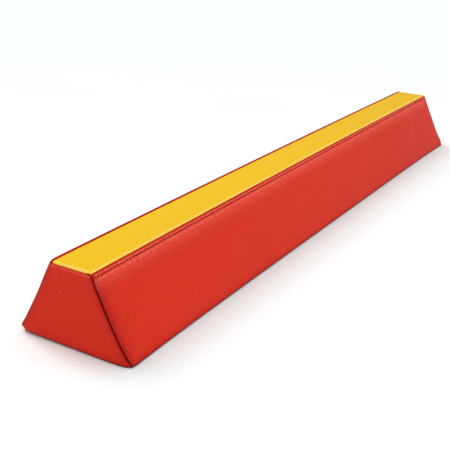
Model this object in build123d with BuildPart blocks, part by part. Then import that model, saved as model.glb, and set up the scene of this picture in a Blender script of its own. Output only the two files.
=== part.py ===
"""Soft gymnastics balance beam.

A long foam block of trapezoidal section in a sewn cover of coated vinyl. The cover has a walking strip on top,
two sides, two ends and a base in two halves that close with a zip. The sides are topstitched below the strip.
X runs along the beam, Y across it and Z up. The origin is the middle of the base, on the floor.
"""

import os
from math import hypot

from build123d import *

# Driving dimensions, in millimetres
LENGTH = 2000
BASE_WIDTH = 285
TOP_WIDTH = 104
HEIGHT = 180

VINYL = 0.9  # thickness of one ply of the cover
ALLOWANCE = 12  # seam allowance, folded inside the cover
THREAD = 0.6  # thickness of the sewing thread
THREAD_WIDTH = 0.9
TOPSTITCH_DROP = 9  # from the walking strip's edge down the side to the topstitching
SEAM_INSET = 2  # from a fold to the row of stitches that made it
FIT = 0.2  # room between the foam and the cover

DECK_THICKNESS = 30  # firm foam layer that the gymnast stands on

SLOT_WIDTH = 22  # between the halves of the base, from end to end
HEM = 15  # width of the folded hem along the slot
TAPE_THICKNESS = 0.6
TAPE_RISE_START = 15  # distance from the middle at which a tape leaves its hem
TAPE_RISE_END = 9
TAPE_EDGE = 1.6  # half the gap between the two tapes
COIL_WIDTH = 4
COIL_THICKNESS = 3
COIL_BOTTOM = 6.1  # height of the coils above the floor
CHANNEL_TOP = 13  # height of the channel that the zip presses into the foam
CHANNEL_WIDTH = 20

SLIDER_X = 930  # middle of the slider when the zip is shut
SLIDER_LENGTH = 16
SLIDER_TAIL = 11  # width at the end that the joined coils run through
SLIDER_MOUTH = 14.6
SLIDER_PLATE = 1.2
SLIDER_WALL = 1.2
SLIDER_CORNER = 1
SLIDER_GAP = 0.3  # running room around the coils
TAPE_GAP = 0.4  # running room above and below the tapes
POST_WIDTH = 2.8  # wedge that parts the coils
POST_START = 1.5  # from the slider's middle to the wedge's tip
POST_END = 7.5
STOP_LENGTH = 5
ZIP_START = 50  # from the tapes' end to the bottom stop

BAIL_LENGTH = 9
BAIL_WIDTH = 3
BAIL_HEIGHT = 3.4
BAIL_BAR = 1.2
PIVOT_BACK = 2  # the pull's axle, behind the slider's middle
PIVOT_DROP = 1.1  # and below its outer plate
AXLE_RADIUS = 0.7
PULL_WIDTH = 8
PULL_THICKNESS = 1.2
PULL_LENGTH = 30
PULL_WINDOW = 7.6
PULL_GAP = 0.3
PULL_HOLE_RADIUS = 1.7

# Worked out from the sizes above
FLARE = (BASE_WIDTH - TOP_WIDTH) / 2 / HEIGHT  # how far a side leans out for each unit of height
SLOPE = hypot(1, FLARE)  # length along a side for each unit of height
INNER_LENGTH = LENGTH - 2 * VINYL  # between the end panels
CLEAR_LENGTH = INNER_LENGTH - 2 * (ALLOWANCE + 1)  # between the end panels' own allowances
TAPE_BOTTOM = COIL_BOTTOM + COIL_THICKNESS
HEM_EDGE = SLOT_WIDTH / 2 + HEM
HEM_TOP = 2 * VINYL
DECK_FLOOR = HEIGHT - VINYL - FIT - DECK_THICKNESS
SLIDER_BOTTOM = COIL_BOTTOM - SLIDER_GAP - SLIDER_PLATE
STOP_START = ZIP_START - CLEAR_LENGTH / 2

os.makedirs("parts", exist_ok=True)


def half_width(z, depth=0):
    """Half the section's width at height z, to a surface that lies depth inside the sides."""
    return BASE_WIDTH / 2 - FLARE * z - depth * SLOPE


def section(depth):
    """The four corners of the beam's section, inset all round by depth."""
    low, high = depth, HEIGHT - depth
    bottom, top = half_width(low, depth), half_width(high, depth)
    return [(-bottom, low), (bottom, low), (top, high), (-top, high)]


def side_strip(low, high, outer, inner):
    """A strip along the rear side, between two heights and two depths."""
    return [
        (half_width(low, outer), low),
        (half_width(low, inner), low),
        (half_width(high, inner), high),
        (half_width(high, outer), high),
    ]


def save(piece, name):
    piece.part.label = name
    export_step(piece.part, f"parts/{name}.step")


def save_front_and_rear(rear, name):
    """Writes a piece made on the rear side, and its mirror image at the front."""
    with BuildPart() as front:
        mirror(rear.part, about=Plane.XZ)
    save(rear, f"rear_{name}")
    save(front, f"front_{name}")


def save_left_and_right(right, name):
    """Writes a piece made at the right end, and its mirror image at the left."""
    with BuildPart() as left:
        mirror(right.part, about=Plane.YZ)
    save(right, f"right_{name}")
    save(left, f"left_{name}")


# Cover. Every long panel is a flat ply that meets its neighbours on a mitre, with its allowance folded inside.
outside, inside = section(0), section(VINYL)
strip_underside = HEIGHT - VINYL
allowance_foot = strip_underside - ALLOWANCE / SLOPE

with BuildPart() as top_panel:
    with BuildSketch(Plane.YZ):
        Polygon(outside[3], outside[2], inside[2], inside[3], align=None)
    extrude(amount=INNER_LENGTH / 2, both=True)
    with BuildSketch(Plane.YZ):
        Polygon(*side_strip(allowance_foot, strip_underside, 2 * VINYL, 3 * VINYL), align=None)
        mirror(about=Plane.YZ)
    extrude(amount=CLEAR_LENGTH / 2, both=True)
save(top_panel, "top_panel")

with BuildPart() as side_panel:
    with BuildSketch(Plane.YZ):
        Polygon(outside[1], outside[2], inside[2], inside[1], align=None)
    extrude(amount=INNER_LENGTH / 2, both=True)
    with BuildSketch(Plane.YZ):
        Polygon(*side_strip(allowance_foot, strip_underside, VINYL, 2 * VINYL), align=None)
    extrude(amount=CLEAR_LENGTH / 2, both=True)
save_front_and_rear(side_panel, "side_panel")

with BuildPart() as base_panel:
    with BuildSketch(Plane.YZ):
        Polygon((SLOT_WIDTH / 2, 0), outside[1], inside[1], (SLOT_WIDTH / 2, VINYL), align=None)
    extrude(amount=INNER_LENGTH / 2, both=True)
    with BuildSketch(Plane.YZ):
        Polygon(*side_strip(VINYL, VINYL + ALLOWANCE / SLOPE, VINYL, 2 * VINYL), align=None)
    extrude(amount=CLEAR_LENGTH / 2, both=True)
    with BuildSketch(Plane.XY.offset(VINYL)):
        with Locations((0, SLOT_WIDTH / 2)):
            Rectangle(CLEAR_LENGTH, HEM, align=(Align.CENTER, Align.MIN))
    extrude(amount=VINYL)
save_front_and_rear(base_panel, "base_panel")

# An end panel is a flat ply with its allowance turned in all round, like a shallow tray.
with BuildPart() as end_panel:
    with BuildSketch(Plane.YZ.offset(INNER_LENGTH / 2)):
        Polygon(*outside, align=None)
    extrude(amount=VINYL)
    with BuildSketch(Plane.YZ.offset(INNER_LENGTH / 2)):
        Polygon(*inside, align=None)
        Polygon(*section(2 * VINYL), align=None, mode=Mode.SUBTRACT)
    extrude(amount=-ALLOWANCE)
save_left_and_right(end_panel, "end_panel")

# Foam. Both layers are relieved where the folded allowances press into their edges.
foam_length = INNER_LENGTH - 2 * FIT
side_relief = 2 * VINYL + THREAD + FIT
strip_relief = 3 * VINYL + THREAD + FIT
foam_bottom = VINYL + FIT
foam_top = HEIGHT - VINYL - FIT
relief_top = VINYL + ALLOWANCE / SLOPE + FIT
relief_foot = allowance_foot - FIT
hem_room = HEM_TOP + TAPE_THICKNESS + THREAD + FIT


def relieve_ends():
    """Cuts the foam back round both ends, where the end panels' allowances lie."""
    for side in (-1, 1):
        with BuildSketch(Plane.YZ.offset(side * CLEAR_LENGTH / 2)) as ring:
            Polygon(*outside, align=None)
            Polygon(*section(side_relief), align=None, mode=Mode.SUBTRACT)
        extrude(ring.sketch, amount=side * (ALLOWANCE + 1), mode=Mode.SUBTRACT)


with BuildPart() as foam_core:
    with BuildSketch(Plane.YZ):
        Polygon(
            (0, CHANNEL_TOP),
            (CHANNEL_WIDTH / 2, CHANNEL_TOP),
            (TAPE_RISE_START + 1, hem_room),
            (HEM_EDGE + FIT, hem_room),
            (HEM_EDGE + FIT, foam_bottom),
            (half_width(foam_bottom, side_relief), foam_bottom),
            (half_width(relief_top, side_relief), relief_top),
            (half_width(relief_top, VINYL + FIT), relief_top),
            (half_width(DECK_FLOOR, VINYL + FIT), DECK_FLOOR),
            (0, DECK_FLOOR),
            align=None,
        )
        mirror(about=Plane.YZ)
    extrude(amount=foam_length / 2, both=True)
    relieve_ends()
save(foam_core, "foam_core")

with BuildPart() as foam_deck:
    with BuildSketch(Plane.YZ):
        Polygon(
            (0, DECK_FLOOR),
            (half_width(DECK_FLOOR, VINYL + FIT), DECK_FLOOR),
            (half_width(relief_foot, VINYL + FIT), relief_foot),
            (half_width(relief_foot, strip_relief), relief_foot),
            (half_width(foam_top, strip_relief), foam_top),
            (0, foam_top),
            align=None,
        )
        mirror(about=Plane.YZ)
    extrude(amount=foam_length / 2, both=True)
    relieve_ends()
save(foam_deck, "foam_deck")


# Thread. Each row of stitches is one strand, lying on the face that it was sewn through.
def thread_row(z, depth):
    """A thread's section, lying inside the rear side at a given depth."""
    rise = THREAD_WIDTH / 2 / SLOPE
    return side_strip(z - rise, z + rise, depth, depth + THREAD)


with BuildPart() as topstitch_thread:
    with BuildSketch(Plane.YZ):
        Polygon(*thread_row(HEIGHT - TOPSTITCH_DROP / SLOPE, -THREAD), align=None)
    extrude(amount=INNER_LENGTH / 2, both=True)
save_front_and_rear(topstitch_thread, "topstitch_thread")

with BuildPart() as top_seam_thread:
    with BuildSketch(Plane.YZ):
        Polygon(*thread_row(strip_underside - SEAM_INSET / SLOPE, 3 * VINYL), align=None)
    extrude(amount=CLEAR_LENGTH / 2, both=True)
save_front_and_rear(top_seam_thread, "top_seam_thread")

with BuildPart() as base_seam_thread:
    with BuildSketch(Plane.YZ):
        Polygon(*thread_row(VINYL + SEAM_INSET / SLOPE, 2 * VINYL), align=None)
    extrude(amount=CLEAR_LENGTH / 2, both=True)
save_front_and_rear(base_seam_thread, "base_seam_thread")

with BuildPart() as end_seam_thread:
    with BuildSketch(Plane.YZ.offset(INNER_LENGTH / 2 - SEAM_INSET)):
        Polygon(*section(2 * VINYL), align=None)
        Polygon(*section(2 * VINYL + THREAD), align=None, mode=Mode.SUBTRACT)
    extrude(amount=-THREAD_WIDTH)
save_left_and_right(end_seam_thread, "end_seam_thread")

with BuildPart() as zip_stitching:
    with BuildSketch(Plane.XY.offset(HEM_TOP + TAPE_THICKNESS)):
        with Locations((0, (TAPE_RISE_START + HEM_EDGE) / 2)):
            Rectangle(CLEAR_LENGTH, THREAD_WIDTH)
    extrude(amount=THREAD)
save_front_and_rear(zip_stitching, "zip_stitching")

# Zip. Each tape lies on its hem and rises into the foam's channel, with its coil on the underside.
tape_middle = TAPE_BOTTOM + TAPE_THICKNESS / 2

with BuildPart() as zip_tape:
    with BuildSketch(Plane.YZ):
        with BuildLine():
            Polyline(
                (HEM_EDGE, HEM_TOP + TAPE_THICKNESS / 2),
                (TAPE_RISE_START, HEM_TOP + TAPE_THICKNESS / 2),
                (TAPE_RISE_END, tape_middle),
                (TAPE_EDGE, tape_middle),
            )
        trace(line_width=TAPE_THICKNESS)
    extrude(amount=CLEAR_LENGTH / 2, both=True)
save_front_and_rear(zip_tape, "zip_tape")

# The coils meet in the middle and part round the wedge inside the slider, to end at the top stops.
coil_start = STOP_START + STOP_LENGTH
coil_end = SLIDER_X + SLIDER_LENGTH / 2 + SLIDER_GAP
parting = POST_WIDTH / 2 + SLIDER_GAP
parting_end = SLIDER_X + SLIDER_LENGTH / 4

with BuildPart() as zip_coil:
    with BuildSketch(Plane.XY.offset(COIL_BOTTOM)):
        with BuildLine():
            Polyline(
                (coil_start, COIL_WIDTH / 2),
                (SLIDER_X, COIL_WIDTH / 2),
                (parting_end, COIL_WIDTH / 2 + parting),
                (coil_end, COIL_WIDTH / 2 + parting),
            )
        trace(line_width=COIL_WIDTH)
    extrude(amount=COIL_THICKNESS)
save_front_and_rear(zip_coil, "zip_coil")

with BuildPart() as zip_top_stop:
    with BuildSketch(Plane.XY.offset(COIL_BOTTOM - SLIDER_GAP)):
        with Locations((coil_end, parting)):
            Rectangle(STOP_LENGTH, COIL_WIDTH + SLIDER_WALL, align=Align.MIN)
    extrude(amount=COIL_THICKNESS + SLIDER_GAP)
save_front_and_rear(zip_top_stop, "zip_top_stop")

with BuildPart() as zip_bottom_stop:
    with BuildSketch(Plane.XY.offset(COIL_BOTTOM - SLIDER_GAP)):
        with Locations((STOP_START, 0)):
            Rectangle(
                STOP_LENGTH,
                2 * (COIL_WIDTH + SLIDER_WALL),
                align=(Align.MIN, Align.CENTER),
            )
    extrude(amount=COIL_THICKNESS + SLIDER_GAP)
save(zip_bottom_stop, "zip_bottom_stop")


# Slider. A tray round the coils and a cap over the tapes, joined only by the wedge that parts the coils.
def slider_outline(inset, overrun=0):
    """The slider's outline from above: narrow over the joined coils and wide where they part."""
    tail, mouth = SLIDER_TAIL / 2 - inset, SLIDER_MOUTH / 2 - inset
    back = SLIDER_X - SLIDER_LENGTH / 2 - overrun
    front = SLIDER_X + SLIDER_LENGTH / 2 + overrun
    half = [(back, tail), (SLIDER_X, tail), (parting_end, mouth), (front, mouth)]
    return half + [(x, -y) for x, y in reversed(half)]


tray_top = TAPE_BOTTOM - TAPE_GAP
cap_bottom = TAPE_BOTTOM + TAPE_THICKNESS + TAPE_GAP
coil_room = COIL_BOTTOM - SLIDER_GAP
pivot = (SLIDER_X - PIVOT_BACK, SLIDER_BOTTOM - PIVOT_DROP)

with BuildPart() as zip_slider:
    with BuildSketch(Plane.XY.offset(SLIDER_BOTTOM)) as outline:
        Polygon(*slider_outline(0), align=None)
        fillet(outline.vertices(), SLIDER_CORNER)
    extrude(amount=tray_top - SLIDER_BOTTOM)
    extrude(outline.sketch.moved(Location((0, 0, cap_bottom - SLIDER_BOTTOM))), amount=SLIDER_PLATE)
    with BuildSketch(Plane.XY.offset(coil_room)):
        Polygon(*slider_outline(SLIDER_WALL, overrun=1), align=None)
    extrude(amount=tray_top - coil_room, mode=Mode.SUBTRACT)
    with BuildSketch(Plane.XY.offset(coil_room)):
        Polygon(
            (SLIDER_X + POST_START, 0),
            (SLIDER_X + POST_END, POST_WIDTH / 2),
            (SLIDER_X + POST_END, -POST_WIDTH / 2),
            align=None,
        )
    extrude(amount=cap_bottom - coil_room)
    with BuildSketch(Plane.XZ):
        with Locations((pivot[0], SLIDER_BOTTOM)):
            Rectangle(BAIL_LENGTH, BAIL_HEIGHT, align=(Align.CENTER, Align.MAX))
            Rectangle(
                BAIL_LENGTH - 2 * BAIL_BAR,
                BAIL_HEIGHT - BAIL_BAR,
                align=(Align.CENTER, Align.MAX),
                mode=Mode.SUBTRACT,
            )
    extrude(amount=BAIL_WIDTH / 2, both=True)
save(zip_slider, "zip_slider")

# The pull's window lets it fold flat either way over the bail, on an axle that runs under the bail's bar.
with BuildPart() as zip_pull:
    with BuildSketch(Plane.XY.offset(pivot[1])):
        with Locations((pivot[0], 0)):
            Rectangle(PULL_LENGTH, PULL_WIDTH, align=(Align.MAX, Align.CENTER))
            Rectangle(
                PULL_WINDOW,
                BAIL_WIDTH + 2 * PULL_GAP,
                align=(Align.MAX, Align.CENTER),
                mode=Mode.SUBTRACT,
            )
        with Locations((pivot[0] - PULL_LENGTH + PULL_WIDTH / 2, 0)):
            Circle(PULL_HOLE_RADIUS, mode=Mode.SUBTRACT)
    extrude(amount=PULL_THICKNESS / 2, both=True)
    with BuildSketch(Plane.XZ):
        with Locations(pivot):
            Circle(AXLE_RADIUS)
    extrude(amount=PULL_WIDTH / 2, both=True)
save(zip_pull, "zip_pull")
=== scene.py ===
"""The look of the soft balance beam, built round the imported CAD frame.

Every panel of the cover is a fine grid: a section traced across the panel, rolled into its seams, and
carried along the beam. A cloth simulation of the strip, the sides and the ends under pressure gives their
crowns. Stitches, zip and foam are separate pieces.
"""

import math
from collections import namedtuple

import bmesh
import bpy
import numpy as np
from mathutils import Matrix, Vector


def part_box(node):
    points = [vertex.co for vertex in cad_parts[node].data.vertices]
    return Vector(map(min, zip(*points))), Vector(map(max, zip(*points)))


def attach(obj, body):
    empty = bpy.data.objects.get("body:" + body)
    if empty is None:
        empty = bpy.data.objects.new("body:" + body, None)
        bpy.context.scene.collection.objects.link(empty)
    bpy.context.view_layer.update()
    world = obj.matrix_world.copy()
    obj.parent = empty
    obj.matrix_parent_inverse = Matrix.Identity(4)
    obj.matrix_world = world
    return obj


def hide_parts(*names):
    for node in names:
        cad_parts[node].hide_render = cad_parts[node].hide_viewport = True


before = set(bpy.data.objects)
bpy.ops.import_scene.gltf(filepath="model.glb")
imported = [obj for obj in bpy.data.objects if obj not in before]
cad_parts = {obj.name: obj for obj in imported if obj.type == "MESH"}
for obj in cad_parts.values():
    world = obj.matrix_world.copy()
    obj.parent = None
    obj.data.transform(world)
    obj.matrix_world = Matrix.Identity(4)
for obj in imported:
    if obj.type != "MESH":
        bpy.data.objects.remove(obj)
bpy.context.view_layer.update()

MM = 0.001
PLY = 0.6 * MM  # thickness of a panel
rng = np.random.default_rng(7)

# The beam's ideal edges, read from the frame
half_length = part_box("right_end_panel")[1].x
half_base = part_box("right_end_panel")[1].y
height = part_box("right_end_panel")[1].z
end_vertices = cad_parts["right_end_panel"].data.vertices
half_top = max(v.co.y for v in end_vertices if v.co.z > height - MM)
slot_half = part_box("rear_base_panel")[0].y
flare = (half_base - half_top) / height
slope = math.hypot(1, flare)
side_width = height * slope
TOP_TURN = math.degrees(math.atan2(1, flare))  # from the strip's face round to a side's
BASE_TURN = 180 - TOP_TURN  # from a side's face round to the base's


# ---- sections and seams

GROOVE = 0.7 * MM  # radius of a panel's roll into its seam
END_GROOVE = 1.4 * MM
GAP = 0.05 * MM
DEPTH = 3.0 * MM  # how far the panel is followed inside its seam
TO_CREASE = 0.9 * GROOVE  # from the start of a seam's roll to its crease
FRONT_ROUND, FRONT_TURN = 9.0 * MM, 50  # the strip rolls over most of the front corner before its seam
REAR_ROUND, REAR_LAP = 5.0 * MM, 5.8 * MM  # the rear side rolls right over its corner and laps onto the top
BASE_ROUND, BASE_SIDE_TURN, BASE_GROOVE = 3.0 * MM, 86, 0.95 * MM
HEM_FOLD, HEM_WIDTH = 0.93 * MM, 14 * MM
END_START = 9.0 * MM  # how far from the ends their rolled edges begin
END_ROUND, TOP_END_ROUND, BASE_END_ROUND = 5.0 * MM, 8.5 * MM, 3.5 * MM
TOP_END_TURN, BASE_END_TURN = 52, 27
TOPSTITCH = 8.3 * MM  # from the front crease down to the line of stitches
REAR_STITCH = REAR_LAP + 7.5 * MM

ROLL_STEPS = 7  # points round a corner, or round a seam's roll
LAP_STEPS = (9, 4)  # points round a lapped corner, and over the lap
END_STEPS = (3, 5, 6)  # points along an end edge's flat, round its corner and round its seam's roll
END_CREASE = END_STEPS[0] + END_STEPS[1] + END_STEPS[2] // 2  # the one of them in the crease
FINEST, GROWTH = 0.9 * MM, 1.35  # the closest rows or columns, and how much each next gap widens
FINE_SHARE = 0.3  # how far across a panel its rows may still be widening

# A panel's rolled edge: where it leaves the flat face, its points and how far each is turned, how many of
# them come before the seam's own roll, and how far the panel has turned there
Edge = namedtuple("Edge", "start points turns rolled seam")


def trace(steps, start):
    """Walks a section from a panel's face towards its edge, over arcs and lines of (kind, size, degrees,
    count). Gives points, as (distance in from the edge, height), and the turn at each."""
    at, turned, points, turns = np.array([start, 0.0]), 0.0, [], []
    for kind, size, degrees, count in steps:
        if kind == "arc":
            centre = at - size * np.array([-math.sin(turned), math.cos(turned)])
            for i in range(1, count + 1):
                a = turned + math.radians(degrees) * i / count
                points.append(centre + size * np.array([-math.sin(a), math.cos(a)]))
                turns.append(a)
            turned = turns[-1]
        else:
            way = np.array([-math.cos(turned), -math.sin(turned)])
            points += [at + way * size * i / count for i in range(1, count + 1)]
            turns += [turned] * count
        at = points[-1]
    return np.array(points), np.array(turns)


def seam_slip(radius, groove):
    """How many degrees early a rounded corner ends, to leave room for the seam's roll."""
    return math.degrees(math.asin((groove + GAP) / (radius - groove)))


def round_edge(radius, turn, corner, groove=GROOVE):
    """A panel that bends over a rounded corner and meets its seam after turn degrees of it."""
    slip = seam_slip(radius, groove)
    start = radius * math.tan(math.radians(corner / 2))
    steps = [
        ("arc", radius, turn - slip, ROLL_STEPS),
        ("arc", groove, 90 + slip, ROLL_STEPS),
        ("line", DEPTH, 0, 1),
    ]
    return Edge(start, *trace(steps, start), ROLL_STEPS, math.radians(turn))


def lapped_edge(radius, corner, lap):
    """A panel that bends right over a rounded corner and lies along the next face as far as its seam."""
    start = radius * math.tan(math.radians(corner / 2))
    bend, flat = LAP_STEPS
    steps = [
        ("arc", radius, corner, bend),
        ("line", lap - start - GROOVE - GAP, 0, flat),
        ("arc", GROOVE, 90, ROLL_STEPS),
        ("line", DEPTH, 0, 1),
    ]
    return Edge(start, *trace(steps, start), bend + flat, math.radians(corner))


def flat_edge():
    """A panel that stays flat as far as its seam."""
    start = GROOVE + GAP
    return Edge(start, *trace([("arc", GROOVE, 90, ROLL_STEPS), ("line", DEPTH, 0, 1)], start), 0, 0.0)


def end_edge(radius, turn, groove):
    """The rolled edge of a panel at an end seam, which takes turn degrees of the square corner."""
    slip = seam_slip(radius, groove)
    flat, bend, roll = END_STEPS
    steps = [
        ("line", END_START - radius, 0, flat),
        ("arc", radius, turn - slip, bend),
        ("arc", groove, 90 + slip, roll),
        ("line", DEPTH, 0, 1),
    ]
    return Edge(END_START, *trace(steps, END_START), flat + bend, math.radians(turn))


def hem_edge():
    """A panel folded back on itself, as beside the zip."""
    return Edge(HEM_FOLD, *trace([("arc", HEM_FOLD, 180, 9), ("line", HEM_WIDTH, 0, 6)], HEM_FOLD), 0, 0.0)


def pushes(edge):
    """Which way each row of an edge moves when the panel is pushed in or out: along its own normal as far as
    the seam's roll, and from there on straight out of the seam."""
    turn = np.where(np.arange(len(edge.turns)) < edge.rolled, edge.turns, edge.seam)
    return np.stack([-np.sin(turn), np.cos(turn)], 1)


def spread(first, last, spacing, fine=0.0):
    """Stops from first to last, close together near both ends, and over the first fine of them, and about
    spacing apart between."""

    def near_end(start, fine):
        stops, step = [start], FINEST
        while stops[-1] < start + fine:
            stops.append(stops[-1] + step)
        while stops[-1] + step < start + (last - first) * FINE_SHARE and step < spacing:
            stops.append(stops[-1] + step)
            step *= GROWTH
        return stops

    near = near_end(first, fine)
    far = [first + last - s for s in near_end(first, 0.0)[::-1]]
    count = max(1, round((far[0] - near[-1]) / spacing))
    return np.array(near + list(np.linspace(near[-1], far[0], count + 1)[1:-1]) + far)


class Section:
    """A row for each point of a panel's section, from seam A to seam B, in the YZ plane."""

    def __init__(self, origin, along, out, width, edge_a, edge_b, spacing, fine=0.0):
        inner = spread(edge_a.start, width - edge_b.start, spacing, fine)
        face = np.stack([inner, np.zeros_like(inner)], 1)
        a, b = edge_a.points[::-1], edge_b.points * [-1, 1] + [width, 0]
        local = np.vstack([a, face, b])
        face_push = np.tile([0.0, 1.0], (len(inner), 1))
        push = np.vstack([pushes(edge_a)[::-1], face_push, pushes(edge_b) * [-1, 1]])
        basis = np.array([along, out])
        self.points = np.array(origin) + local @ basis
        self.push = push @ basis
        self.width = width
        self.across = np.clip(local[:, 0] / width, 0, 1)
        # distance over the panel from each of its creases
        run = np.concatenate([[0], np.cumsum(np.linalg.norm(np.diff(local, axis=0), axis=1))])
        first, last = len(a), len(a) + len(inner) - 1
        self.from_a = run - run[first] + self.roll(edge_a)
        self.from_b = run[last] - run + self.roll(edge_b)

    @staticmethod
    def roll(edge):
        """How far the face's own edge is from the crease, measured over the panel."""
        bend = np.vstack([[edge.start, 0.0], edge.points[: edge.rolled + 1]])
        return np.linalg.norm(np.diff(bend, axis=0), axis=1).sum() + TO_CREASE


# ---- mesh tools


def smooth(t):
    t = np.clip(t, 0, 1)
    return t * t * (3 - 2 * t)


def ramp(value, start, length):
    """0 up to start, rising smoothly to 1 over length."""
    return smooth((value - start) / length)


def bell(x, width):
    return np.exp(-((x / width) ** 2))


def undulation(lengths):
    """A smooth uneven surface of about unit height, made of waves of these lengths with random ways and
    phases."""
    turn = 2 * math.pi
    waves = [(turn / length, rng.uniform(0, turn), rng.uniform(0, turn)) for length in lengths]

    def at(x, y):
        total = sum(np.sin(k * (x * math.cos(w) + y * math.sin(w)) + p) for k, w, p in waves)
        return total / math.sqrt(len(waves))

    return at


def sample(grid, u, v):
    """The value of a grid at fractions u down its rows and v along its columns, on a smooth surface through
    it."""

    def taps(count, t):
        p = np.clip(t, 0, 1) * (count - 1)
        i = np.minimum(p.astype(int), count - 2)
        f = p - i
        weights = [
            -0.5 * f + f**2 - 0.5 * f**3,
            1 - 2.5 * f**2 + 1.5 * f**3,
            0.5 * f + 2 * f**2 - 1.5 * f**3,
            -0.5 * f**2 + 0.5 * f**3,
        ]
        return [np.clip(i + k - 1, 0, count - 1) for k in range(4)], weights

    rows, row_weights = taps(grid.shape[0], u)
    columns, column_weights = taps(grid.shape[1], v)
    total = 0
    for i, a in zip(rows, row_weights):
        for j, b in zip(columns, column_weights):
            total = total + a * b * grid[i, j]
    return total


PRESSURE, SWELL_FRAMES = 4, 20


def swell(quad, across, down, rise):
    """How a panel pinned along its four seams fills out: a cloth simulation under pressure, scaled to
    rise."""
    u, v = np.meshgrid(np.linspace(0, 1, across + 1), np.linspace(0, 1, down + 1), indexing="ij")
    shares = ((1 - u) * (1 - v), u * (1 - v), u * v, (1 - u) * v)
    flat = sum(np.array(corner) * share[..., None] for corner, share in zip(quad, shares))
    points = np.concatenate([flat.reshape(-1, 2), np.zeros((flat.shape[0] * flat.shape[1], 1))], 1)
    at = np.arange(len(points)).reshape(u.shape)
    faces = np.stack([at[:-1, :-1], at[1:, :-1], at[1:, 1:], at[:-1, 1:]], -1).reshape(-1, 4)
    mesh = bpy.data.meshes.new("swelling")
    mesh.from_pydata(points.tolist(), [], faces.tolist())
    panel = bpy.data.objects.new("swelling", mesh)
    bpy.context.scene.collection.objects.link(panel)
    border = (u == 0) | (u == 1) | (v == 0) | (v == 1)
    pins = panel.vertex_groups.new(name="pins")
    pins.add([int(i) for i in at[border]], 1.0, "REPLACE")
    cloth = panel.modifiers.new("cloth", "CLOTH")
    cloth.settings.vertex_group_mass = "pins"
    cloth.settings.use_pressure = True
    cloth.settings.uniform_pressure_force = PRESSURE
    cloth.settings.effector_weights.gravity = 0
    cloth.settings.quality = 6
    cloth.settings.air_damping = 4
    cloth.collision_settings.use_collision = False
    for step in range(1, SWELL_FRAMES + 1):
        bpy.context.scene.frame_set(step)
    shaped = panel.evaluated_get(bpy.context.evaluated_depsgraph_get()).data
    moved = np.zeros(len(points) * 3)
    shaped.vertices.foreach_get("co", moved)
    full = np.abs(moved.reshape(-1, 3)[:, 2]).reshape(u.shape)
    bpy.context.scene.frame_set(1)
    bpy.data.objects.remove(panel)
    bpy.data.meshes.remove(mesh)
    return full * (rise / max(full.max(), 1e-9))


def on_beam(piece, finish, node):
    piece.data.materials.append(finish)
    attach(piece, "beam")
    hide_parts(node)
    return piece


def build(name, points, faces, finish, node, layers=None):
    """A piece of the beam from its points and faces, with every face turned outwards, in the place of a CAD
    node."""
    mesh = bpy.data.meshes.new(name)
    mesh.from_pydata(np.asarray(points).reshape(-1, 3).tolist(), [], faces)
    work = bmesh.new()
    work.from_mesh(mesh)
    bmesh.ops.recalc_face_normals(work, faces=work.faces)
    work.to_mesh(mesh)
    work.free()
    mesh.shade_smooth()
    for key, values in (layers or {}).items():
        layer = mesh.attributes.new(key, "FLOAT", "POINT")
        layer.data.foreach_set("value", np.asarray(values, np.float32).ravel())
    piece = bpy.data.objects.new(name, mesh)
    bpy.context.scene.collection.objects.link(piece)
    return on_beam(piece, finish, node)


def normals_of(grid, push, loop=False):
    """The grid's own normals, on the side that push points to."""
    down = np.gradient(grid, axis=0)
    if loop:
        along = (np.roll(grid, -1, axis=1) - np.roll(grid, 1, axis=1)) / 2
    else:
        along = np.gradient(grid, axis=1)
    normal = np.cross(down, along)
    normal /= np.maximum(np.linalg.norm(normal, axis=-1, keepdims=True), 1e-12)
    side = np.sign(np.median(np.sum(normal * push, axis=-1)))
    return normal * side


def quads(at, beside):
    """Faces over a grid of point numbers, where beside holds each one's neighbour in its row."""
    return np.stack([at[:-1], beside[:-1], beside[1:], at[1:]], -1).reshape(-1, 4)


def skin(outer, push, ply, keep):
    """A panel of real thickness from its outer grid. Its inner face keeps only the columns in keep."""
    rows, columns = outer.shape[:2]
    inner = (outer - normals_of(outer, push) * ply)[:, keep]
    first = np.arange(rows * columns).reshape(rows, columns)
    second = rows * columns + np.arange(rows * len(keep)).reshape(rows, len(keep))
    back = second[:, ::-1]
    faces = quads(first[:, :-1], first[:, 1:]).tolist() + quads(back[:, :-1], back[:, 1:]).tolist()
    for row in (0, rows - 1):
        for k in range(len(keep) - 1):
            rim = first[row, keep[k] : keep[k + 1] + 1].tolist()
            faces.append(rim + [int(second[row, k + 1]), int(second[row, k])])
    for column, k in ((0, 0), (columns - 1, len(keep) - 1)):
        outside, inside = first[:, column].tolist(), second[:, k].tolist()
        faces += [list(corners) for corners in zip(outside, outside[1:], inside[1:], inside)]
    return np.concatenate([outer.reshape(-1, 3), inner.reshape(-1, 3)]), faces


def tube(path, radius, sides, up, taper=None):
    """Rings round a path, with closed ends. Gives points and faces counted from 0."""
    path = np.asarray(path, float)
    way = np.gradient(path, axis=0)
    way /= np.linalg.norm(way, axis=1, keepdims=True)
    side = np.cross(way, np.asarray(up, float))
    side /= np.maximum(np.linalg.norm(side, axis=1, keepdims=True), 1e-12)
    rise = np.cross(side, way)
    turn = np.arange(sides) * 2 * math.pi / sides
    size = np.full(len(path), radius) if taper is None else radius * np.asarray(taper)
    ring = side[:, None] * np.cos(turn)[None, :, None] + rise[:, None] * np.sin(turn)[None, :, None]
    points = path[:, None] + ring * size[:, None, None]
    at = np.arange(len(path) * sides).reshape(len(path), sides)
    faces = quads(at, np.roll(at, -1, axis=1)).tolist()
    faces += [at[0].tolist(), at[-1, ::-1].tolist()]
    return points.reshape(-1, 3), faces


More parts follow.
